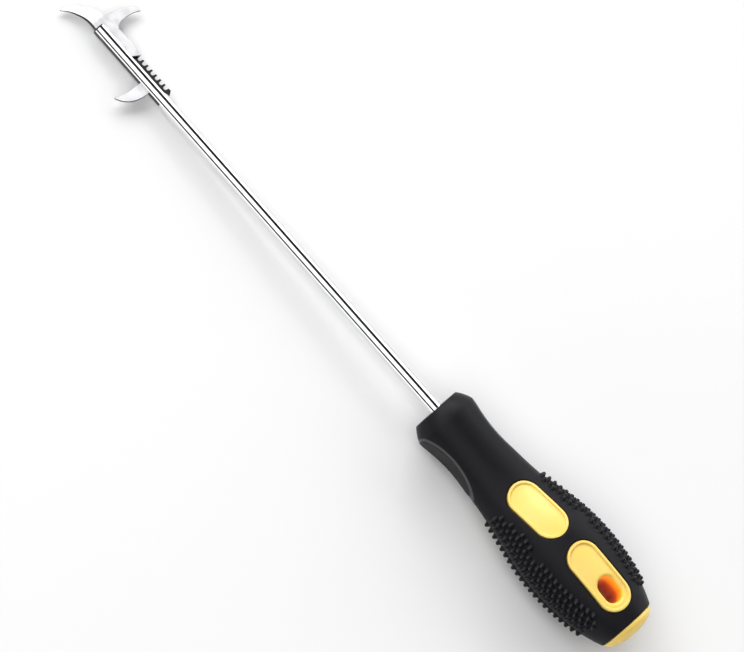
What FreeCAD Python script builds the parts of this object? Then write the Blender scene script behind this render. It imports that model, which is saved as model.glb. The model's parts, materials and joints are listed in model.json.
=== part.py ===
"""Tyre tread cleaning hook: a steel rod with a three-hook head in an overmoulded two-colour handle.

Modelling frame, in millimetres: the origin is where the rod leaves the handle, X runs along the rod towards
the hooks, and Z is up, square to the faces that carry the handle's windows. Every piece is modelled straight
in this frame and then laid down by one common placement. In it the tool rests on two of its window rims and
the end of its rod, and the origin is the centre of the underside of the whole tool's box.
"""
import FreeCAD, Part
import math
import os

import Sketcher
from FreeCAD import Placement, Rotation, Vector

SIZES = {
    # rod: exposed length, the rib that its front end is trimmed to, and the tang inside the handle
    "rod_diameter": 5.0,
    "rod_chamfer": 0.5,
    "rib_start": 138.6,
    "rib_end": 172.0,
    "rib_side": 1.2,
    "rib_run_out": 2.4,
    "tang_length": 70.0,
    "wing_width": 9.0,
    "wing_thickness": 2.2,
    "wing_length": 7.0,
    "front_wing_at": 16.0,
    "rear_wing_at": 58.0,
    # hook plate: its thickness, the ground bevel of its serrated edge, and where its hooks begin to thin
    "plate_thickness": 2.6,
    "plate_edge": 4.7,
    "bevel_line": 1.6,
    "bevel_depth": 2.4,
    "bevel_start": 157.2,
    "bevel_slant": 2.2,
    "gullet_first": 141.7,
    "gullet_pitch": 2.17,
    "gullet_count": 7,
    "gullet_radius": 0.65,
    "gullet_root": 2.85,
    "hook_tip_half": 0.35,
    "hook_reach": 12.0,
    "claw_root": 173.6,
    "thorn_at": 170.0,
    "thorn_root": 5.0,
    "spur_at": 147.0,
    "spur_root": 2.6,
    "braze_leg": 0.4,
    # handle: skin over the core, and the raised windows with their dished faces
    "skin_thickness": 2.6,
    "skin_round": 0.4,
    "window_width": 12.0,
    "window_proud": 0.35,
    "window_gap": 0.25,
    "rim_width": 0.95,
    "rim_round": 0.25,
    "dish_depth": 0.75,
    "front_window_at": 47.8,
    "front_window_length": 23.4,
    "rear_window_at": 78.1,
    "rear_window_length": 27.7,
    # flats on the rims that face each other: half the distance across them, midway between the windows
    "flat_at": 62.0,
    "flat_half_height": 14.08,
    # hanging slot and domed tail
    "slot_at": 83.8,
    "slot_length": 9.8,
    "slot_width": 6.4,
    "slot_flare": 1.1,
    "tail_gap": 0.2,
    "tail_neck": 7.0,
    "dome_height": 4.0,
    "dome_half_width": 10.2,
    "dome_half_height": 9.4,
    # scooped sides of the throat: the radius of the scoop, and where it is deepest
    "scoop_radius": 35.3,
    "scoop_at": 17.6,
    "scoop_floor": 9.5,
}

# Stations of the handle: distance behind the front face, half width and half height of the elliptical ring.
GUARD = (5.2, 12.0, 10.35)
SHOULDER = {"front_face": (0.0, 8.9, 8.6), "front_cone": (2.4, 10.65, 9.7), "guard": GUARD}
BARREL = {
    "guard": GUARD,
    "collar": (11.0, 11.45, 9.75),
    "throat": (20.0, 11.05, 8.7),
    "saddle": (30.0, 11.5, 8.15),
    "rise": (39.0, 12.45, 8.9),
    "swell": (48.0, 13.9, 11.6),
    "crown": (57.0, 15.4, 13.6),
    "belly": (66.0, 16.2, 14.1),
    "back": (79.0, 15.6, 13.4),
    "rear": (90.0, 13.4, 11.8),
    "tail": (97.0, 10.75, 9.9),
}

# Outline of the hook plate as runs of line (two points) and arc (three points): from its rear edge inside the
# rod round the spur, the claw and the thorn, and back along the serrated edge.
SPUR = [
    ((138.6, 2.0), (144.0, 2.0)),
    ((144.0, 2.0), (144.1, 4.0), (144.5, 6.0)),
    ((144.5, 6.0), (146.1, 9.4), (149.7, 12.3)),
    ((149.7, 12.3), (150.2, 12.3), (150.1, 11.8)),
    ((150.1, 11.8), (149.15, 9.0), (148.7, 6.0)),
    ((148.7, 6.0), (148.4, 2.0)),
]
CLAW = [
    ((148.4, 2.0), (162.0, 2.0)),
    ((162.0, 2.0), (167.5, 1.85), (172.5, 1.3)),
    ((172.5, 1.3), (176.5, 1.45), (179.8, 2.7)),
    ((179.8, 2.7), (182.2, 4.1), (184.3, 6.1)),
    ((184.3, 6.1), (184.65, 6.15), (184.7, 5.8)),
    ((184.7, 5.8), (183.6, 2.5), (181.2, -0.2)),
    ((181.2, -0.2), (177.6, -2.8), (173.4, -4.0)),
]
THORN = [
    ((173.4, -4.0), (173.0, -6.3), (172.3, -9.3)),
    ((172.3, -9.3), (170.7, -12.6), (167.6, -15.4)),
    ((167.6, -15.4), (167.1, -15.5), (167.05, -15.0)),
    ((167.05, -15.0), (168.3, -11.6), (168.5, -8.4)),
    ((168.5, -8.4), (168.2, -6.0), (167.0, -4.7)),
    ((167.0, -4.7), (163.0, -4.95), (157.5, -4.6)),
]
SERRATED_EDGE = [
    ((157.5, -4.6), (156.4, -4.7)),
    ((156.4, -4.7), (139.8, -4.7)),
    ((139.8, -4.7), (138.6, -2.5)),
    ((138.6, -2.5), (138.6, 2.0)),
]

TALL = 60.0  # longer than any piece is thick
SECTION = Rotation(Vector(1, 1, 1), 120)  # an ellipse's long axis along Y and its short axis along Z
FORWARD = Rotation(Vector(0, 1, 0), 90)  # a primitive's own Z along the rod, towards the hooks
BACKWARD = Rotation(Vector(0, 1, 0), -90)

document = FreeCAD.newDocument("tread_cleaning_hook")


# The sheet and small helpers


def write_sheet():
    """The driving dimensions, each in a cell of its own with a word for its alias."""
    cells = dict(SIZES)
    for name, (back, half_width, half_height) in {**SHOULDER, **BARREL}.items():
        cells[f"{name}_back"] = back
        cells[f"{name}_half_width"] = half_width
        cells[f"{name}_half_height"] = half_height
    sheet = document.addObject("Spreadsheet::Sheet", "Sizes")
    for row, (alias, value) in enumerate(cells.items(), start=1):
        sheet.set(f"A{row}", alias)
        sheet.set(f"B{row}", str(value))
        sheet.setAlias(f"B{row}", alias)
    document.recompute()


def add(kind, name, turn=None, at=(None, None, None), **sizes):
    """An object whose sizes and position are bound to the sheet by expressions, with a fixed rotation."""
    item = document.addObject(kind, name)
    item.Placement = Placement(Vector(), turn or Rotation())
    for axis, expression in zip("xyz", at):
        if expression:
            item.setExpression(f"Placement.Base.{axis}", expression)
    for size, expression in sizes.items():
        item.setExpression(size, expression)
    return item


def fuse(name, *shapes):
    """The union of several objects, with its faces merged."""
    item = document.addObject("Part::MultiFuse", name)
    item.Shapes = list(shapes)
    item.Refine = True
    return item


def boolean(kind, name, base, tool):
    """Part::Cut or Part::Common of two objects."""
    item = document.addObject(kind, name)
    item.Base = base
    item.Tool = tool
    return item


def bend(edge, shape):
    """The angle in degrees between the two faces that meet at the middle of an edge; 0 along a seam."""
    middle = edge.valueAt((edge.FirstParameter + edge.LastParameter) / 2)
    faces = shape.ancestorsOfType(edge, Part.Face)
    normals = [face.normalAt(*face.Surface.parameter(middle)) for face in faces]
    return math.degrees(normals[0].getAngle(normals[-1]))


def round_edges(name, base, radius, within=(-math.inf, math.inf)):
    """The base with a fillet along its sharp edges, or along those that lie in one stretch of the handle."""
    document.recompute()
    item = document.addObject("Part::Fillet", name)
    item.Base = base
    item.Edges = [
        (number, radius, radius)
        for number, edge in enumerate(base.Shape.Edges, start=1)
        if not edge.Degenerated
        and within[0] < edge.BoundBox.XMin
        and edge.BoundBox.XMax < within[1]
        and bend(edge, base.Shape) > 15
    ]
    return item


def origin_feature(body, role):
    """One of a body's own origin planes or axes, found by its role."""
    return next(item for item in body.Origin.OriginFeatures if item.Role == role)


def sketch(body, name, runs):
    """A closed sketch on the body's XY plane, of lines and three-point arcs that meet end to end."""
    item = body.newObject("Sketcher::SketchObject", name)
    item.AttachmentSupport = (origin_feature(body, "XY_Plane"), [""])
    item.MapMode = "FlatFace"
    for run in runs:
        points = [Vector(along, across, 0) for along, across in run]
        item.addGeometry(Part.LineSegment(*points) if len(points) == 2 else Part.Arc(*points), False)
    item.addConstraint([Sketcher.Constraint("Block", number) for number in range(len(runs))])
    return item


def stadium(name, middle, length, width):
    """A tall upright prism with a stadium outline, its length along the handle."""
    straight = f"(({length}) - ({width}))"
    low = f"{-TALL / 2}"
    block = add(
        "Part::Box",
        f"{name}_block",
        at=(f"-({middle}) - {straight} / 2", f"-({width}) / 2", low),
        Length=straight,
        Width=width,
        Height=f"{TALL}",
    )
    ends = [
        add(
            "Part::Cylinder",
            f"{name}_{place}_end",
            at=(f"-({middle}) {sign} {straight} / 2", None, low),
            Radius=f"({width}) / 2",
            Height=f"{TALL}",
        )
        for place, sign in (("front", "+"), ("rear", "-"))
    ]
    return fuse(name, block, *ends)


def hull(name, stations, inset):
    """A smooth solid through the handle's elliptical stations, drawn in all round by an inset."""
    rings = [
        add(
            "Part::Ellipse",
            f"{name}_{station}",
            turn=SECTION,
            at=(f"-Sizes.{station}_back", None, None),
            MajorRadius=f"Sizes.{station}_half_width - ({inset})",
            MinorRadius=f"Sizes.{station}_half_height - ({inset})",
        )
        for station in stations
    ]
    loft = document.addObject("Part::Loft", name)
    loft.Sections = rings
    loft.Solid = True
    loft.Ruled = False
    return loft


# The rod


def make_rod_blank():
    """The full round rod, chamfered at both ends, with two pairs of flat swaged wings on its tang."""
    rod = add(
        "Part::Cylinder",
        "rod",
        turn=FORWARD,
        at=("-Sizes.tang_length", None, None),
        Radius="Sizes.rod_diameter / 2",
        Height="Sizes.tang_length + Sizes.rib_end",
    )
    document.recompute()
    chamfered = document.addObject("Part::Chamfer", "chamfered_rod")
    chamfered.Base = rod
    chamfer = SIZES["rod_chamfer"]
    chamfered.Edges = [
        (number, chamfer, chamfer)
        for number, edge in enumerate(rod.Shape.Edges, start=1)
        if edge.Closed
    ]
    wings = [
        add(
            "Part::Box",
            f"{place}_wings",
            at=(
                f"-Sizes.{place}_wing_at - Sizes.wing_length / 2",
                "-Sizes.wing_width / 2",
                "-Sizes.wing_thickness / 2",
            ),
            Length="Sizes.wing_length",
            Width="Sizes.wing_width",
            Height="Sizes.wing_thickness",
        )
        for place in ("front", "rear")
    ]
    return fuse("rod_blank", chamfered, *wings)


def make_shaft(blank):
    """The rod with its front end slotted for the plate and trimmed along one side to a rib."""
    slot = add(
        "Part::Box",
        "plate_slot",
        at=("Sizes.rib_start", "-Sizes.rod_diameter", "-Sizes.plate_thickness / 2"),
        Length="Sizes.rib_end - Sizes.rib_start + 1",
        Width="2 * Sizes.rod_diameter",
        Height="Sizes.plate_thickness",
    )
    depth = "Sizes.rod_diameter"
    trim = add(
        "Part::Wedge",
        "rib_trim",
        turn=Rotation(Vector(0, 0, 1), 180),
        at=("Sizes.rib_end + 1", "-Sizes.rib_side", None),
        Xmin="0",
        Xmax="Sizes.rib_end - Sizes.rib_start - Sizes.rib_run_out + 1",
        X2min="0",
        X2max="Sizes.rib_end - Sizes.rib_start + 1",
        Ymin="0",
        Ymax="Sizes.rod_diameter / 2 - Sizes.rib_side + 0.1",
        Zmin=f"-{depth}",
        Zmax=depth,
        Z2min=f"-{depth}",
        Z2max=depth,
    )
    return boolean("Part::Cut", "shaft", blank, fuse("shaft_cuts", slot, trim))


# The hook plate


def make_plate_blank():
    """The stamped plate: its outline with the spur, claw and thorn, and a row of round-bottomed gullets."""
    body = document.addObject("PartDesign::Body", "plate_blank")
    pad = body.newObject("PartDesign::Pad", "plate_pad")
    pad.Profile = sketch(body, "plate_outline", SPUR + CLAW + THORN + SERRATED_EDGE)
    pad.Midplane = True
    pad.setExpression("Length", "Sizes.plate_thickness")
    document.recompute()

    radius = SIZES["gullet_radius"]
    left = SIZES["gullet_first"] - radius
    right = SIZES["gullet_first"] + radius
    root = -SIZES["gullet_root"]
    outside = -SIZES["plate_edge"] - radius
    gullet = [
        ((left, root - radius), (SIZES["gullet_first"], root), (right, root - radius)),
        ((right, root - radius), (right, outside)),
        ((right, outside), (left - radius / 2, outside)),
        ((left - radius / 2, outside), (left, root - radius)),
    ]
    pocket = body.newObject("PartDesign::Pocket", "first_gullet")
    pocket.Profile = sketch(body, "gullet_outline", gullet)
    pocket.Midplane = True
    pocket.setExpression("Length", "2 * Sizes.plate_thickness")
    document.recompute()
    assert pocket.Shape.Volume < pad.Shape.Volume, "the gullet misses the plate"

    row = body.newObject("PartDesign::LinearPattern", "gullet_row")
    row.Originals = [pocket]
    row.Direction = (origin_feature(body, "X_Axis"), [""])
    row.setExpression("Occurrences", "Sizes.gullet_count")
    row.setExpression("Length", "Sizes.gullet_pitch * (Sizes.gullet_count - 1)")
    body.Tip = row
    document.recompute()
    return body


def make_hook_plate():
    """The plate with its serrated edge ground to a bevel and its three hooks thinned towards their tips."""
    cuts = [
        add(
            "Part::Wedge",
            "edge_bevel",
            turn=Rotation(Vector(0, 0, 1), 180),
            at=("Sizes.bevel_start", "-Sizes.bevel_line", "Sizes.plate_thickness / 2"),
            Xmin="0",
            Xmax="Sizes.bevel_start - Sizes.rib_start + 1",
            X2min="Sizes.bevel_slant",
            X2max="Sizes.bevel_start - Sizes.rib_start + 1",
            Ymin="0",
            Ymax="Sizes.plate_edge - Sizes.bevel_line + 0.3",
            Zmin="0",
            Zmax="Sizes.plate_thickness",
            Z2min="-Sizes.bevel_depth",
            Z2max="Sizes.plate_thickness",
        )
    ]
    hooks = {
        # the turn about Z that points each hook outwards, and the middle of its root
        "claw": (-90, "Sizes.claw_root", "1"),
        "thorn": (180, "Sizes.thorn_at", "-Sizes.thorn_root"),
        "spur": (0, "Sizes.spur_at", "Sizes.spur_root"),
    }
    half_span = "5.5"
    for hook, (turn, along, across) in hooks.items():
        for side, flip in (("upper", 0), ("lower", 180)):
            cuts.append(
                add(
                    "Part::Wedge",
                    f"{hook}_{side}_taper",
                    turn=Rotation(Vector(0, 0, 1), turn) * Rotation(Vector(0, 1, 0), flip),
                    at=(along, across, None),
                    Xmin=f"-{half_span}",
                    Xmax=half_span,
                    X2min=f"-{half_span}",
                    X2max=half_span,
                    Ymin="0",
                    Ymax="Sizes.hook_reach",
                    Zmin="Sizes.plate_thickness / 2",
                    Zmax="Sizes.plate_thickness",
                    Z2min="Sizes.hook_tip_half",
                    Z2max="Sizes.plate_thickness",
                )
            )
    grinding = document.addObject("Part::Compound", "plate_grinding")
    grinding.Links = cuts
    return boolean("Part::Cut", "hook_plate", make_plate_blank(), grinding)


def make_braze():
    """A run of filler metal in the corner between the rib's trimmed side and each face of the plate."""
    half_run = "(Sizes.rib_end - Sizes.rib_start - Sizes.rib_run_out - Sizes.rod_chamfer) / 2"
    runs = [
        add(
            "Part::Wedge",
            f"{side}_braze",
            turn=turn,
            at=(
                "(Sizes.rib_end + Sizes.rib_start + Sizes.rib_run_out - Sizes.rod_chamfer) / 2",
                "-Sizes.rib_side",
                f"{sign} Sizes.plate_thickness / 2",
            ),
            Xmin=f"-{half_run}",
            Xmax=half_run,
            X2min=f"-{half_run}",
            X2max=half_run,
            Ymin="0",
            Ymax="Sizes.braze_leg",
            Zmin="0",
            Zmax="Sizes.braze_leg",
            Z2min="0",
            Z2max="0",
        )
        for side, sign, turn in (
            ("upper", "+", Rotation(Vector(0, 0, 1), 180)),
            ("lower", "-", Rotation(Vector(1, 0, 0), 180)),
        )
    ]
    braze = document.addObject("Part::Compound", "braze_fillets")
    braze.Links = runs
    return braze


# The handle


def make_flats():
    """What lies between two planes, above and below the handle, that each touch the end of the rod.

    The window rims are cut to it, so the tool lies still on a bench on either face instead of rocking on two
    rounded crests.
    """
    slope = (
        "(Sizes.flat_half_height - Sizes.rod_diameter / 2)"
        " / (Sizes.flat_at + Sizes.rib_end - Sizes.rod_chamfer)"
    )
    front_half = f"Sizes.flat_half_height - Sizes.flat_at * {slope}"
    rear_half = f"Sizes.flat_half_height + (Sizes.tail_back - Sizes.flat_at) * {slope}"
    return add(
        "Part::Wedge",
        "bearing_flats",
        turn=Rotation(Vector(0, 0, 1), 90),
        Xmin=f"{-TALL / 2}",
        Xmax=f"{TALL / 2}",
        X2min=f"{-TALL / 2}",
        X2max=f"{TALL / 2}",
        Ymin="0",
        Ymax="Sizes.tail_back",
        Zmin=f"-({front_half})",
        Zmax=front_half,
        Z2min=f"-({rear_half})",
        Z2max=rear_half,
    )


def make_core(rod_blank, core_envelope, flats):
    """The yellow core: barrel, neck and dome, raised windows with dished faces, and the hanging slot."""
    neck = add(
        "Part::Cylinder",
        "tail_neck",
        turn=BACKWARD,
        at=("-Sizes.rear_back", None, None),
        Radius="Sizes.tail_neck",
        Height="Sizes.tail_back + Sizes.tail_gap - Sizes.rear_back + 0.5",
    )
    dome = add(
        "Part::Ellipsoid",
        "tail_dome",
        turn=BACKWARD,
        at=("-Sizes.tail_back - Sizes.tail_gap", None, None),
        Radius1="Sizes.dome_height",
        Radius2="Sizes.dome_half_height",
        Radius3="Sizes.dome_half_width",
    )
    dome.Angle1 = 0
    raised = hull("window_face", BARREL, "-Sizes.window_proud")
    dished = hull("dish_face", BARREL, "Sizes.dish_depth - Sizes.window_proud")
    solids = [core_envelope, neck, dome]
    for place in ("front", "rear"):
        middle = f"Sizes.{place}_window_at"
        length = f"Sizes.{place}_window_length"
        outline = stadium(f"{place}_window", middle, length, "Sizes.window_width")
        inner = stadium(
            f"{place}_dish",
            middle,
            f"{length} - 2 * Sizes.rim_width",
            "Sizes.window_width - 2 * Sizes.rim_width",
        )
        boss = boolean(
            "Part::Cut",
            f"{place}_boss",
            boolean("Part::Common", f"{place}_pad", outline, raised),
            boolean("Part::Cut", f"{place}_dish_cut", inner, dished),
        )
        rounded = round_edges(f"{place}_rims", boss, SIZES["rim_round"])
        solids.append(boolean("Part::Common", f"{place}_flat_rims", rounded, flats))
    slot = stadium("hanging_slot", "Sizes.slot_at", "Sizes.slot_length", "Sizes.slot_width")
    slotted = boolean(
        "Part::Cut",
        "slotted_core",
        fuse("core_blank", *solids),
        fuse("core_cuts", rod_blank, slot),
    )
    reach = SIZES["slot_length"] / 2 + 0.1
    mouth = (-SIZES["slot_at"] - reach, -SIZES["slot_at"] + reach)
    return round_edges("handle_core", slotted, SIZES["slot_flare"], mouth)


def make_grip(core_envelope):
    """The rubber skin: the handle's full shape with scooped sides and windows, less the core and the rod."""
    skin = fuse("skin", hull("shoulder", SHOULDER, "0"), hull("barrel", BARREL, "0"))
    cuts = [
        stadium(
            f"{place}_opening",
            f"Sizes.{place}_window_at",
            f"Sizes.{place}_window_length + 2 * Sizes.window_gap",
            "Sizes.window_width + 2 * Sizes.window_gap",
        )
        for place in ("front", "rear")
    ]
    for side, sign in (("left", "+"), ("right", "-")):
        cuts.append(
            add(
                "Part::Cylinder",
                f"{side}_scoop",
                at=(
                    "-Sizes.scoop_at",
                    f"{sign} (Sizes.scoop_floor + Sizes.scoop_radius)",
                    f"{-TALL / 2}",
                ),
                Radius="Sizes.scoop_radius",
                Height=f"{TALL}",
            )
        )
    shaped = boolean("Part::Cut", "shaped_skin", skin, fuse("skin_cuts", *cuts))
    rounded = round_edges("rounded_skin", shaped, SIZES["skin_round"])
    bore = add(
        "Part::Cylinder",
        "rod_bore",
        turn=BACKWARD,
        at=("1", None, None),
        Radius="Sizes.rod_diameter / 2",
        Height="Sizes.collar_back",
    )
    return boolean("Part::Cut", "rubber_grip", rounded, fuse("hollow", core_envelope, bore))


# Laying the tool down, checking and writing


def box_after(placement, nodes):
    """The exact bounding box of some nodes once they are moved by a placement."""
    box = FreeCAD.BoundBox()
    for node in nodes:
        moved = node.Shape.copy()
        moved.Placement = placement * moved.Placement
        box.add(moved.optimalBoundingBox(False))
    return box


def lay_down(flats, nodes):
    """Levels the plane of the flats and the rod's end, with the box's bottom centre at the origin."""
    front_half = flats.Zmax.Value
    tilt = math.atan2(flats.Z2max.Value - front_half, flats.Ymax.Value)
    lean = Rotation(Vector(0, 1, 0), math.degrees(tilt))
    middle = box_after(Placement(Vector(), lean), nodes).Center
    rest = Placement(Vector(-middle.x, -middle.y, front_half * math.cos(tilt)), lean)
    for node in nodes:
        node.Placement = rest
    document.recompute()
    return rest


def check(nodes):
    """Stops if any object failed to compute or any piece has no valid shape."""
    for item in document.Objects:
        if "Invalid" in item.State or "Error" in item.State:
            raise RuntimeError(f"{item.Label} failed: {item.State}")
    for node in nodes:
        if node.Shape.isNull() or not node.Shape.isValid():
            raise RuntimeError(f"{node.Label} has no valid shape")


def write(nodes):
    """One STEP file for each piece, named after it."""
    os.makedirs("parts", exist_ok=True)
    for node in nodes:
        node.Shape.exportStep(f"parts/{node.Label}.step")
        box = node.Shape.BoundBox
        print(f"{node.Label}: {node.Shape.Volume:.0f} mm3, {len(node.Shape.Solids)} solid(s), {box}")


write_sheet()
rod_blank = make_rod_blank()
core_envelope = hull("core_envelope", BARREL, "Sizes.skin_thickness")
shaft = make_shaft(rod_blank)
flats = make_flats()
core = make_core(rod_blank, core_envelope, flats)
nodes = [shaft, make_hook_plate(), make_braze(), core, make_grip(core_envelope)]
document.recompute()
check(nodes)
print("laid down by", lay_down(flats, nodes))
check(nodes)
write(nodes)
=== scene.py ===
"""Looks for the tyre tread cleaning hook: plated steel, lemon yellow plastic and black overmoulded rubber.

The CAD nodes keep their shapes and get materials. The hook plate is replaced by a copy with rounded edges,
and rows of nubs are added along the sides of the grip. Sizes are in millimetres in the tool's own frame: the
origin is the middle of the handle's front face, X runs along the rod to the hooks, and Z is out of the
handle's upper face. The lights and the camera are in metres.
"""
import json
import math

import bmesh
import bpy
from mathutils import Matrix, Vector
from mathutils.bvhtree import BVHTree


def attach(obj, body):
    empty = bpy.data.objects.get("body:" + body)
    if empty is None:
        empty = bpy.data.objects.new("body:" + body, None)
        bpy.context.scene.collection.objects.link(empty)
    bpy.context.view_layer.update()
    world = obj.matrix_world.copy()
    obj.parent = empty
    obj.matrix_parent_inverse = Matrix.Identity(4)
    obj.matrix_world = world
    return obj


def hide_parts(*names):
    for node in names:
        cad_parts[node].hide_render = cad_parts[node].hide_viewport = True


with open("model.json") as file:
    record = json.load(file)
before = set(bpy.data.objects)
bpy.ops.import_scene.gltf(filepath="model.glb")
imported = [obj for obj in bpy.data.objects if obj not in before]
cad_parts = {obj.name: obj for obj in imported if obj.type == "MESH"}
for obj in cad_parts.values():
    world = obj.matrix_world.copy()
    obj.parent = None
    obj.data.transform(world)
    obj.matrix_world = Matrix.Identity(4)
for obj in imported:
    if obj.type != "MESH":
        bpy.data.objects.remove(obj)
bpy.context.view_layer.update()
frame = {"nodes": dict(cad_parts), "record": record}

MM = 0.001
nodes = frame["nodes"]
shoulder = next(mount for mount in frame["record"]["mounts"] if mount["name"] == "rack_shoulder")
along = Vector(shoulder["axis"]).normalized()
across = Vector((0, 1, 0))
upward = along.cross(across)
TURN = Matrix((along, across, upward)).transposed()
TOOL = Matrix.Translation(shoulder["pos_m"]) @ TURN.to_4x4() @ Matrix.Scale(MM, 4)


# Camera, light and floor

VIEW_LEAN = 19.0  # degrees that the camera leans from square above the tool towards its +Y side
VIEW_TURN = 131.456  # degrees in the picture from its right to the rod, anticlockwise
VIEW_DISTANCE = 2.2
VIEW_WIDTH = 0.251  # how much the picture takes in at that distance
VIEW_MIDDLE = (35.3, -2.5)  # the picture's middle, along the rod and across it
SENSOR_WIDTH = 36.0
SOFTBOX_RUN = 4.0
SOFTBOX_DISTANCE = 1.6
PANEL_DISTANCE = 2.4
FLOOR_SIDE = 12
WORLD_LIT = 0.025  # how bright the studio is where it lights the tool
WORLD_SEEN = 0.85  # and where the camera sees it


def add_camera():
    """The photograph's view: from far off, square to the rod, with the handle at the lower right."""
    lean = math.radians(VIEW_LEAN)
    turn = math.radians(VIEW_TURN)
    towards = across * math.sin(lean) + upward * math.cos(lean)
    sideways = across * math.cos(lean) - upward * math.sin(lean)
    right = along * math.cos(turn) - sideways * math.sin(turn)
    up = along * math.sin(turn) + sideways * math.cos(turn)
    target = TOOL @ Vector((VIEW_MIDDLE[0], 0, 0)) + sideways * VIEW_MIDDLE[1] * MM
    data = bpy.data.cameras.new("camera")
    data.sensor_width = SENSOR_WIDTH
    data.lens = data.sensor_width * VIEW_DISTANCE / VIEW_WIDTH
    data.clip_end = 20
    camera = bpy.data.objects.new("camera", data)
    turned = Matrix((right, up, towards)).transposed().to_4x4()
    camera.matrix_world = Matrix.Translation(target + towards * VIEW_DISTANCE) @ turned
    bpy.context.scene.collection.objects.link(camera)
    bpy.context.scene.camera = camera


def add_area_light(name, middle, outward, level, width, height, radiance):
    """A flat light that faces back along a direction. Its width runs along the level direction."""
    data = bpy.data.lights.new(name, "AREA")
    data.shape = "RECTANGLE"
    data.size = width
    data.size_y = height
    data.energy = radiance * math.pi * width * height
    lamp = bpy.data.objects.new(name, data)
    turned = Matrix((level, outward.cross(level), outward)).transposed().to_4x4()
    lamp.matrix_world = Matrix.Translation(middle) @ turned
    lamp.visible_camera = False
    bpy.context.scene.collection.objects.link(lamp)


def add_softbox(name, low, high, radiance, shift):
    """A long flat light that fills the directions between two leans, in degrees from straight up to +Y."""
    lean = math.radians((low + high) / 2)
    outward = Vector((0, math.sin(lean), math.cos(lean)))
    run = Vector((1, 0, 0))
    middle = outward * SOFTBOX_DISTANCE + run * shift
    height = 2 * SOFTBOX_DISTANCE * math.tan(math.radians(high - low) / 2)
    add_area_light(name, middle, outward, run, SOFTBOX_RUN, height, radiance)


def add_panel(name, ahead, lean, width, height, radiance):
    """A flat light towards the hooks' end: degrees ahead of straight up, and degrees of lean towards +Y."""
    ahead = math.radians(ahead)
    lean = math.radians(lean)
    outward = Vector((math.sin(ahead), math.cos(ahead) * math.sin(lean), math.cos(ahead) * math.cos(lean)))
    level = Vector((0, 0, 1)).cross(outward).normalized()
    add_area_light(name, outward * PANEL_DISTANCE, outward, level, width, height, radiance)


def add_floor():
    """A plain pale floor."""
    bpy.ops.mesh.primitive_plane_add(size=FLOOR_SIDE)
    floor = bpy.context.object
    floor.name = "floor"
    material, tree, shader = new_material("pale_floor")
    shader.inputs["Base Color"].default_value = (0.72, 0.72, 0.72, 1)
    shader.inputs["Roughness"].default_value = 0.9
    shader.inputs["Specular IOR Level"].default_value = 0.1
    floor.data.materials.append(material)


def add_world():
    """A studio that looks pale but is dim where it lights the tool, so that plating shows dark lines."""
    world = bpy.data.worlds.new("studio")
    world.use_nodes = True
    tree = world.node_tree
    seen = node(tree, "LightPath", {})
    by_ray = {"Value": seen.outputs["Is Camera Ray"], "To Min": WORLD_LIT, "To Max": WORLD_SEEN}
    strength = node(tree, "MapRange", by_ray)
    background = tree.nodes["Background"]
    background.inputs["Color"].default_value = (1, 1, 1, 1)
    tree.links.new(strength.outputs[0], background.inputs["Strength"])
    bpy.context.scene.world = world


# Shader helpers


def new_material(name):
    """A new node material, its tree and its Principled shader."""
    material = bpy.data.materials.new(name)
    material.use_nodes = True
    return material, material.node_tree, material.node_tree.nodes["Principled BSDF"]


def node(tree, kind, inputs, **settings):
    """Adds a shader node. Each input is a plain value or another node's output."""
    item = tree.nodes.new("ShaderNode" + kind)
    for name, value in settings.items():
        setattr(item, name, value)
    for socket, value in inputs.items():
        if isinstance(value, bpy.types.NodeSocket):
            tree.links.new(value, item.inputs[socket])
        else:
            item.inputs[socket].default_value = value
    return item


def tool_place(tree):
    """The shaded point in the tool's own frame, in millimetres."""
    place = node(tree, "TexCoord", {}).outputs["Object"]
    own = {
        "Vector": place,
        "Location": TOOL.translation,
        "Rotation": TURN.to_euler(),
        "Scale": (MM, MM, MM),
    }
    return node(tree, "Mapping", own, vector_type="TEXTURE").outputs["Vector"]


def noise(tree, place, stretch, detail=2.0, roughness=0.5):
    """Soft noise with its grain's frequency per millimetre along X, Y and Z."""
    grain = node(tree, "VectorMath", {0: place, 1: stretch}, operation="MULTIPLY").outputs[0]
    inputs = {"Vector": grain, "Scale": 1.0, "Detail": detail, "Roughness": roughness}
    return node(tree, "TexNoise", inputs).outputs["Fac"]


def between(tree, value, low, high, to_low=0.0, to_high=1.0):
    """A value carried smoothly from one range to another."""
    inputs = {"Value": value, "From Min": low, "From Max": high, "To Min": to_low, "To Max": to_high}
    return node(tree, "MapRange", inputs, interpolation_type="SMOOTHSTEP").outputs[0]


def math_node(tree, operation, first, second=0.0):
    """One arithmetic step on two values."""
    return node(tree, "Math", {0: first, 1: second}, operation=operation).outputs[0]


def blend(tree, factor, first, second):
    """A colour between two colours."""
    return node(tree, "Mix", {0: factor, 6: first, 7: second}, data_type="RGBA").outputs[2]


def colour(red, green, blue):
    return (red, green, blue, 1)


def bumped(tree, shader, *layers):
    """Adds layers of relief, each a height from 0 to 1 and its depth in millimetres, to a shader."""
    normal = None
    for height, depth in layers:
        inputs = {"Height": height, "Strength": 1.0, "Distance": depth * MM}
        if normal:
            inputs["Normal"] = normal
        normal = node(tree, "Bump", inputs).outputs["Normal"]
    tree.links.new(normal, shader.inputs["Normal"])


# Materials

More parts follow.
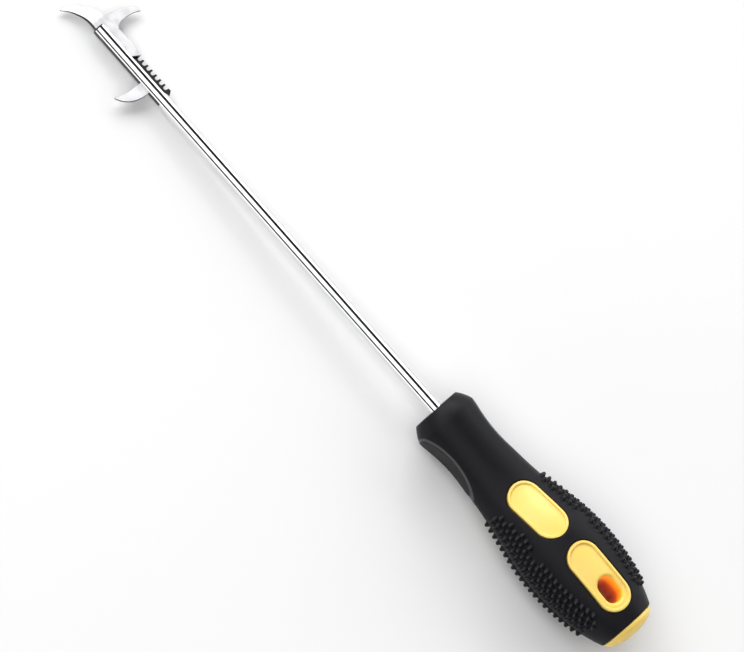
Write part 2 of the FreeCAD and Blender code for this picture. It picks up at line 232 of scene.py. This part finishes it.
BEVEL_FACES = Vector((0, -3.7, 3.4))  # the direction that the serrated edge's ground bevel faces
SLOT_AT = 83.8  # the middle of the hanging slot, behind the handle's front face
SLOT_ENDS = (5.6, 4.9)  # fading in, from the slot's middle along the handle
SLOT_SIDES = (3.9, 3.2)  # and across it
SLOT_MOUTH = (12.2, 10.2)  # fading in, from the handle's middle plane
SLOT_DEPTH = (11.2, 3.0)  # where painted shade darkens the plastic inwards
SLOT_LIT = (0.0, 6.0)  # above the middle plane, where the painted glow comes in
TAIL_FROM = (96.0, 98.5)  # behind the front face, where the domed tail's orange tint of painted shade comes in
SCOOP_AT = 17.6  # where the scooped sides are deepest, behind the handle's front face
SCOOP_AWAY = 44.8  # from the handle's middle to the centre of a scoop
SCOOP_RADIUS = 35.3
RIDGE_HIGHLIGHT = 2.4  # how much paler the painted highlight on the scoops' ridges is than a nub's tip
SLOT_GLOW = 0.55  # how strongly the plastic round the slot's upper mouth glows, a painted glow standing in for light coming through it


def chrome():
    """Bright plating on a rod finished by grinding: faint rings from the grinding, smears that dull it, and
    painted shade on its cut end.
    """
    material, tree, shader = new_material("chrome")
    place = tool_place(tree)
    rings = noise(tree, place, (9.0, 0.25, 0.25), detail=3.0)
    smears = noise(tree, place, (0.05, 0.22, 0.22), detail=4.0)
    dulling = between(tree, smears, 0.42, 0.72, 0.03, 0.09)
    roughness = math_node(tree, "ADD", dulling, between(tree, rings, 0.3, 0.8, 0.0, 0.03))
    tree.links.new(roughness, shader.inputs["Roughness"])
    smeared = between(tree, smears, 0.4, 0.8)
    tint = blend(tree, smeared, colour(0.84, 0.84, 0.85), colour(0.74, 0.74, 0.75))
    # Painted shade: faces looking along the rod towards the hooks are made near black.
    painted_end_shade = between(tree, squareness(tree, along), 0.3, 0.6)
    tree.links.new(blend(tree, painted_end_shade, tint, colour(0.03, 0.03, 0.032)), shader.inputs["Base Color"])
    shader.inputs["Metallic"].default_value = 1
    bumped(tree, shader, (rings, 0.0003))
    return material


def squareness(tree, direction):
    """How squarely the shaded face looks along a fixed direction of the object, from -1 to 1."""
    normal = node(tree, "NewGeometry", {}).outputs["True Normal"]
    inputs = {0: normal, 1: direction.normalized()}
    return node(tree, "VectorMath", inputs, operation="DOT_PRODUCT").outputs["Value"]


def plate_steel():
    """Satin plated steel with lengthwise polishing lines, and a painted dark reflection on its sides cut by
    shearing, on its faces towards the hooks' end and on the serrated edge's bevel.
    """
    material, tree, shader = new_material("plate_steel")
    place = tool_place(tree)
    lines = noise(tree, place, (0.22, 7.0, 1.2), detail=3.0)
    clouds = noise(tree, place, (0.30, 0.30, 0.30), detail=3.0)
    satin = between(tree, clouds, 0.35, 0.7, 0.38, 0.44)
    roughness = math_node(tree, "ADD", satin, between(tree, lines, 0.3, 0.8, 0.0, 0.06))
    tree.links.new(roughness, shader.inputs["Roughness"])
    # Painted dark reflection: the steep sides and the faces looking towards the hooks' end are made near
    # black.
    level = math_node(tree, "ABSOLUTE", squareness(tree, upward))
    steep = between(tree, level, 0.85, 0.6)
    forward = between(tree, squareness(tree, along), 0.14, 0.24)
    painted_dark_sides = math_node(tree, "MAXIMUM", steep, forward)
    # Painted dark reflection: the serrated edge's bevel is made near black.
    painted_dark_bevel = between(tree, squareness(tree, TURN @ BEVEL_FACES), 0.93, 0.97)
    bright = blend(tree, clouds, colour(0.93, 0.93, 0.94), colour(0.89, 0.89, 0.91))
    shade = blend(tree, painted_dark_sides, bright, colour(0.03, 0.03, 0.034))
    tree.links.new(blend(tree, painted_dark_bevel, shade, colour(0.018, 0.018, 0.02)), shader.inputs["Base Color"])
    shader.inputs["Metallic"].default_value = 1
    bumped(tree, shader, (lines, 0.0012), (clouds, 0.01))
    return material


def yellow_plastic():
    """Semi-gloss lemon yellow plastic, with an orange tint of painted shade on the domed tail, painted
    orange bounce light and painted shade in the hanging slot, and a painted glow round the slot's upper
    mouth.
    """
    material, tree, shader = new_material("yellow_plastic")
    place = tool_place(tree)
    axes = node(tree, "SeparateXYZ", {"Vector": place})
    back = math_node(tree, "MULTIPLY", axes.outputs["X"], -1.0)
    side = math_node(tree, "ABSOLUTE", axes.outputs["Y"])
    depth = math_node(tree, "ABSOLUTE", axes.outputs["Z"])
    reach = math_node(tree, "ABSOLUTE", math_node(tree, "SUBTRACT", back, SLOT_AT))
    in_plan = math_node(tree, "MULTIPLY", between(tree, reach, *SLOT_ENDS), between(tree, side, *SLOT_SIDES))
    slot_painted_light = math_node(tree, "MULTIPLY", in_plan, between(tree, depth, *SLOT_MOUTH))
    slot_painted_shade = math_node(tree, "MULTIPLY", in_plan, between(tree, depth, *SLOT_DEPTH))
    # Painted shade: the domed tail is tinted orange.
    tail = between(tree, back, *TAIL_FROM)
    clouds = noise(tree, place, (0.09, 0.12, 0.12), detail=2.0)
    lemon = blend(tree, clouds, colour(0.82, 0.595, 0.185), colour(0.80, 0.585, 0.115))
    shade = blend(tree, tail, lemon, colour(0.95, 0.66, 0.15))
    # Painted bounce light and shade: the slot's walls turn orange, and dark red-brown deeper in.
    shade = blend(tree, slot_painted_light, shade, colour(0.95, 0.45, 0.03))
    shade = blend(tree, slot_painted_shade, shade, colour(0.80, 0.20, 0.015))
    # Painted glow: the plastic round the slot's upper mouth glows orange.
    shader.inputs["Emission Color"].default_value = colour(1.0, 0.33, 0.01)
    painted_glow_side = between(tree, axes.outputs["Z"], *SLOT_LIT)
    fading = math_node(tree, "MULTIPLY", slot_painted_shade, 0.85)
    painted_glow = math_node(tree, "MULTIPLY", painted_glow_side, math_node(tree, "SUBTRACT", slot_painted_light, fading))
    tree.links.new(math_node(tree, "MULTIPLY", painted_glow, SLOT_GLOW), shader.inputs["Emission Strength"])
    tree.links.new(shade, shader.inputs["Base Color"])
    grain = noise(tree, place, (5.0, 5.0, 5.0), detail=3.0)
    ripple = noise(tree, place, (0.35, 0.12, 0.12), detail=1.0)
    tree.links.new(between(tree, grain, 0.3, 0.7, 0.28, 0.38), shader.inputs["Roughness"])
    shader.inputs["Subsurface Weight"].default_value = 0.12
    shader.inputs["Subsurface Radius"].default_value = (1.0, 0.7, 0.1)
    shader.inputs["Subsurface Scale"].default_value = 1.5 * MM
    shader.inputs["Specular IOR Level"].default_value = 0.35
    bumped(tree, shader, (grain, 0.006), (ripple, 0.05))
    return material


def beyond_scoop(tree, place):
    """How far a place on the rubber lies outside the scooped sides of the throat, in millimetres."""
    middle = node(tree, "VectorMath", {0: place, 1: (-SCOOP_AT, 0, 0)}, operation="SUBTRACT").outputs[0]
    flat = node(tree, "VectorMath", {0: middle, 1: (1, 1, 0)}, operation="MULTIPLY").outputs[0]
    mirrored = node(tree, "VectorMath", {0: flat}, operation="ABSOLUTE").outputs[0]
    ends = {0: mirrored, 1: (0, SCOOP_AWAY, 0)}
    reach = node(tree, "VectorMath", ends, operation="DISTANCE").outputs["Value"]
    return math_node(tree, "SUBTRACT", reach, SCOOP_RADIUS)


def black_rubber():
    """Satin black thermoplastic rubber with a fine moulded grain, paler towards the nubs' tips, with a
    painted highlight along the scoops' ridges and painted shade on the scooped sides.
    """
    material, tree, shader = new_material("black_rubber")
    place = tool_place(tree)
    grain = noise(tree, place, (6.0, 6.0, 6.0), detail=3.0, roughness=0.6)
    clouds = noise(tree, place, (0.08, 0.12, 0.12), detail=3.0)
    paleness = node(tree, "Attribute", {}, attribute_name="paleness").outputs["Fac"]
    beyond = beyond_scoop(tree, place)
    # Painted highlight: a thin pale band along the scoops' ridges, added to the nubs' paleness.
    inner = between(tree, beyond, 0.02, 0.15)
    ridge_highlight = math_node(tree, "MULTIPLY", inner, between(tree, beyond, 0.85, 0.5))
    paleness = math_node(tree, "ADD", paleness, math_node(tree, "MULTIPLY", ridge_highlight, RIDGE_HIGHLIGHT))
    charcoal_and_scoop_shade = blend(tree, clouds, colour(0.0046, 0.0046, 0.0063), colour(0.0075, 0.0075, 0.0101))
    # Painted shade: the scooped sides of the throat are made darker than the rest.
    charcoal_and_scoop_shade = blend(tree, between(tree, beyond, 0.1, 0.0), charcoal_and_scoop_shade, colour(0.0010, 0.0010, 0.0014))
    # The factor goes above 1 on the ridges, whose painted highlight is paler than a nub's tip.
    shades = {0: paleness, 6: charcoal_and_scoop_shade, 7: colour(0.030, 0.030, 0.034)}
    pale = node(tree, "Mix", shades, data_type="RGBA", clamp_factor=False)
    tree.links.new(pale.outputs[2], shader.inputs["Base Color"])
    grained = between(tree, grain, 0.3, 0.7, 0.36, 0.48)
    dulling = math_node(tree, "ADD", grained, between(tree, clouds, 0.3, 0.7, 0.0, 0.1))
    smoothed = math_node(tree, "MULTIPLY", paleness, 0.08)
    tree.links.new(math_node(tree, "SUBTRACT", dulling, smoothed), shader.inputs["Roughness"])
    shader.inputs["Specular IOR Level"].default_value = 0.14
    bumped(tree, shader, (grain, 0.012), (clouds, 0.08))
    return material


def dress(name, material):
    """Gives a CAD node one material."""
    mesh = nodes[name].data
    mesh.materials.clear()
    mesh.materials.append(material)


def new_piece(name, mesh, material):
    """A new piece of the object, which rides with the whole tool."""
    mesh.materials.append(material)
    piece = bpy.data.objects.new(name, mesh)
    bpy.context.scene.collection.objects.link(piece)
    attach(piece, "root")
    return piece


# The hook plate's rounded edges

EDGE_ROUND = 0.26
EDGE_STEPS = 3
WELD = 0.002
FLAT_ANGLE = 1.0  # degrees between faces that are merged
SHARP_ANGLE = 30  # and between faces whose edge is rounded
SMOOTH_ANGLE = 35  # and between faces that are shaded as one


def round_plate(material):
    """The hook plate with every sharp edge slightly rounded, as stamping and plating leave it."""
    shape = bmesh.new()
    shape.from_mesh(nodes["hook_plate"].data)
    bmesh.ops.remove_doubles(shape, verts=shape.verts, dist=WELD * MM)
    flat = math.radians(FLAT_ANGLE)
    bmesh.ops.dissolve_limit(shape, angle_limit=flat, verts=shape.verts, edges=shape.edges)
    steep = math.radians(SHARP_ANGLE)
    sharp = [edge for edge in shape.edges if edge.is_manifold and edge.calc_face_angle() > steep]
    bmesh.ops.bevel(
        shape,
        geom=sharp,
        offset=EDGE_ROUND * MM,
        offset_type="OFFSET",
        segments=EDGE_STEPS,
        profile=0.5,
        affect="EDGES",
        clamp_overlap=True,
    )
    mesh = bpy.data.meshes.new("plated_hooks")
    shape.to_mesh(mesh)
    shape.free()
    for attribute in [item for item in mesh.attributes if item.name == "custom_normal"]:
        mesh.attributes.remove(attribute)
    mesh.shade_smooth()
    mesh.set_sharp_from_angle(angle=math.radians(SMOOTH_ANGLE))
    piece = new_piece("plated_hooks", mesh, material)
    level = piece.modifiers.new("level_faces", "WEIGHTED_NORMAL")
    level.mode = "FACE_AREA"
    level.keep_sharp = True
    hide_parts("hook_plate")


# The nubs along the sides of the grip

NUB_PITCH = 2.38  # along the handle
NUB_ROW = 2.05  # between rows, round the handle
NUB_FIRST = -40.6
NUB_COUNT = 21
NUB_PARTING = 2.5  # half of the smooth band along the mould's parting line
NUB_SHIFTS = {  # how far back each row starts, in pitches, going away from the parting line
    1: (0.0, 0.05, 0.55, 0.2, 0.3),
    -1: (0.0, 0.0, 0.0, 0.5, 0.5),
}
NUB_NEAREST = 9.3  # from the handle's middle plane
NUB_BAR = (-61.6, -55.8)  # beside the bar between the windows, where the last row is left out
NUB_STEPS = 8
NUB_PROFILE = [(-0.35, 1.0), (0.0, 0.9), (0.2, 0.7), (0.55, 0.53), (0.85, 0.4), (1.0, 0.22)]
NUB_TIP = 1.06
NUB_SIZE = 1.3
NUB_SIDES = 12
NUB_PALENESS = 0.7  # how pale a nub's sides are just below its tip
RAY_START = 30  # from the handle's middle line, well outside the grip


def add_nub(shape, paleness, point, normal, size):
    """One small rounded peg, closed at both ends, that stands out of the rubber along its normal."""
    side = normal.orthogonal().normalized()
    other = normal.cross(side)
    rings = []
    for height, radius in NUB_PROFILE:
        ring = []
        for step in range(NUB_SIDES):
            angle = 2 * math.pi * step / NUB_SIDES
            spread = side * math.cos(angle) + other * math.sin(angle)
            vertex = shape.verts.new(TOOL @ (point + (normal * height + spread * radius) * size))
            vertex[paleness] = max(0.0, height) ** 2 * NUB_PALENESS
            ring.append(vertex)
        rings.append(ring)
    tip = shape.verts.new(TOOL @ (point + normal * NUB_TIP * size))
    tip[paleness] = 1.0
    shape.faces.new(rings[0][::-1])
    for lower, upper in zip(rings, rings[1:]):
        for step in range(NUB_SIDES):
            after = (step + 1) % NUB_SIDES
            shape.faces.new((lower[step], lower[after], upper[after], upper[step]))
    for step in range(NUB_SIDES):
        shape.faces.new((rings[-1][step], rings[-1][(step + 1) % NUB_SIDES], tip))


def add_nubs(material):
    """Rows of nubs on both sides of the grip, above and below the parting line."""
    skin = bmesh.new()
    skin.from_mesh(nodes["rubber_grip"].data)
    skin.transform(TOOL.inverted())
    surface = BVHTree.FromBMesh(skin)
    shape = bmesh.new()
    paleness = shape.verts.layers.float.new("paleness")
    for half, shifts in NUB_SHIFTS.items():
        for row, shift in enumerate(shifts):
            for column in range(NUB_COUNT):
                x = NUB_FIRST - NUB_PITCH * (column + shift)
                if row == len(shifts) - 1 and NUB_BAR[0] < x < NUB_BAR[1]:
                    continue
                for side in (1, -1):
                    point, normal = round_from_parting(surface, x, NUB_PARTING + NUB_ROW * row, side, half)
                    if abs(point.y) > NUB_NEAREST:
                        add_nub(shape, paleness, point, normal, NUB_SIZE)
    mesh = bpy.data.meshes.new("grip_nubs")
    shape.to_mesh(mesh)
    shape.free()
    skin.free()
    mesh.shade_smooth()
    new_piece("grip_nubs", mesh, material)


def round_from_parting(surface, x, reach, side, half):
    """The place and normal on the grip at a distance round it from the parting line."""
    angle = 0.0
    for _ in range(NUB_STEPS + 1):
        outward = Vector((0, side * math.cos(angle), half * math.sin(angle)))
        point, normal, _, _ = surface.ray_cast(Vector((x, 0, 0)) + outward * RAY_START, -outward)
        angle += reach / NUB_STEPS / Vector((0, point.y, point.z)).length
    return point, normal.normalized()


add_camera()
add_softbox("overhead_softbox", low=-2.5, high=47.5, radiance=1.75, shift=0.8)
add_softbox("left_softbox", low=-85, high=-44.5, radiance=2.2, shift=0.1)
add_softbox("right_softbox", low=73, high=89, radiance=1.5, shift=0.2)
add_panel("head_light", ahead=46, lean=-25, width=2.6, height=1.2, radiance=5.6)
add_floor()
add_world()
bpy.context.scene.view_settings.view_transform = "Standard"

plating = chrome()
rubber = black_rubber()
dress("shaft", plating)
dress("braze_fillets", plating)
dress("handle_core", yellow_plastic())
dress("rubber_grip", rubber)
round_plate(plate_steel())
add_nubs(rubber)
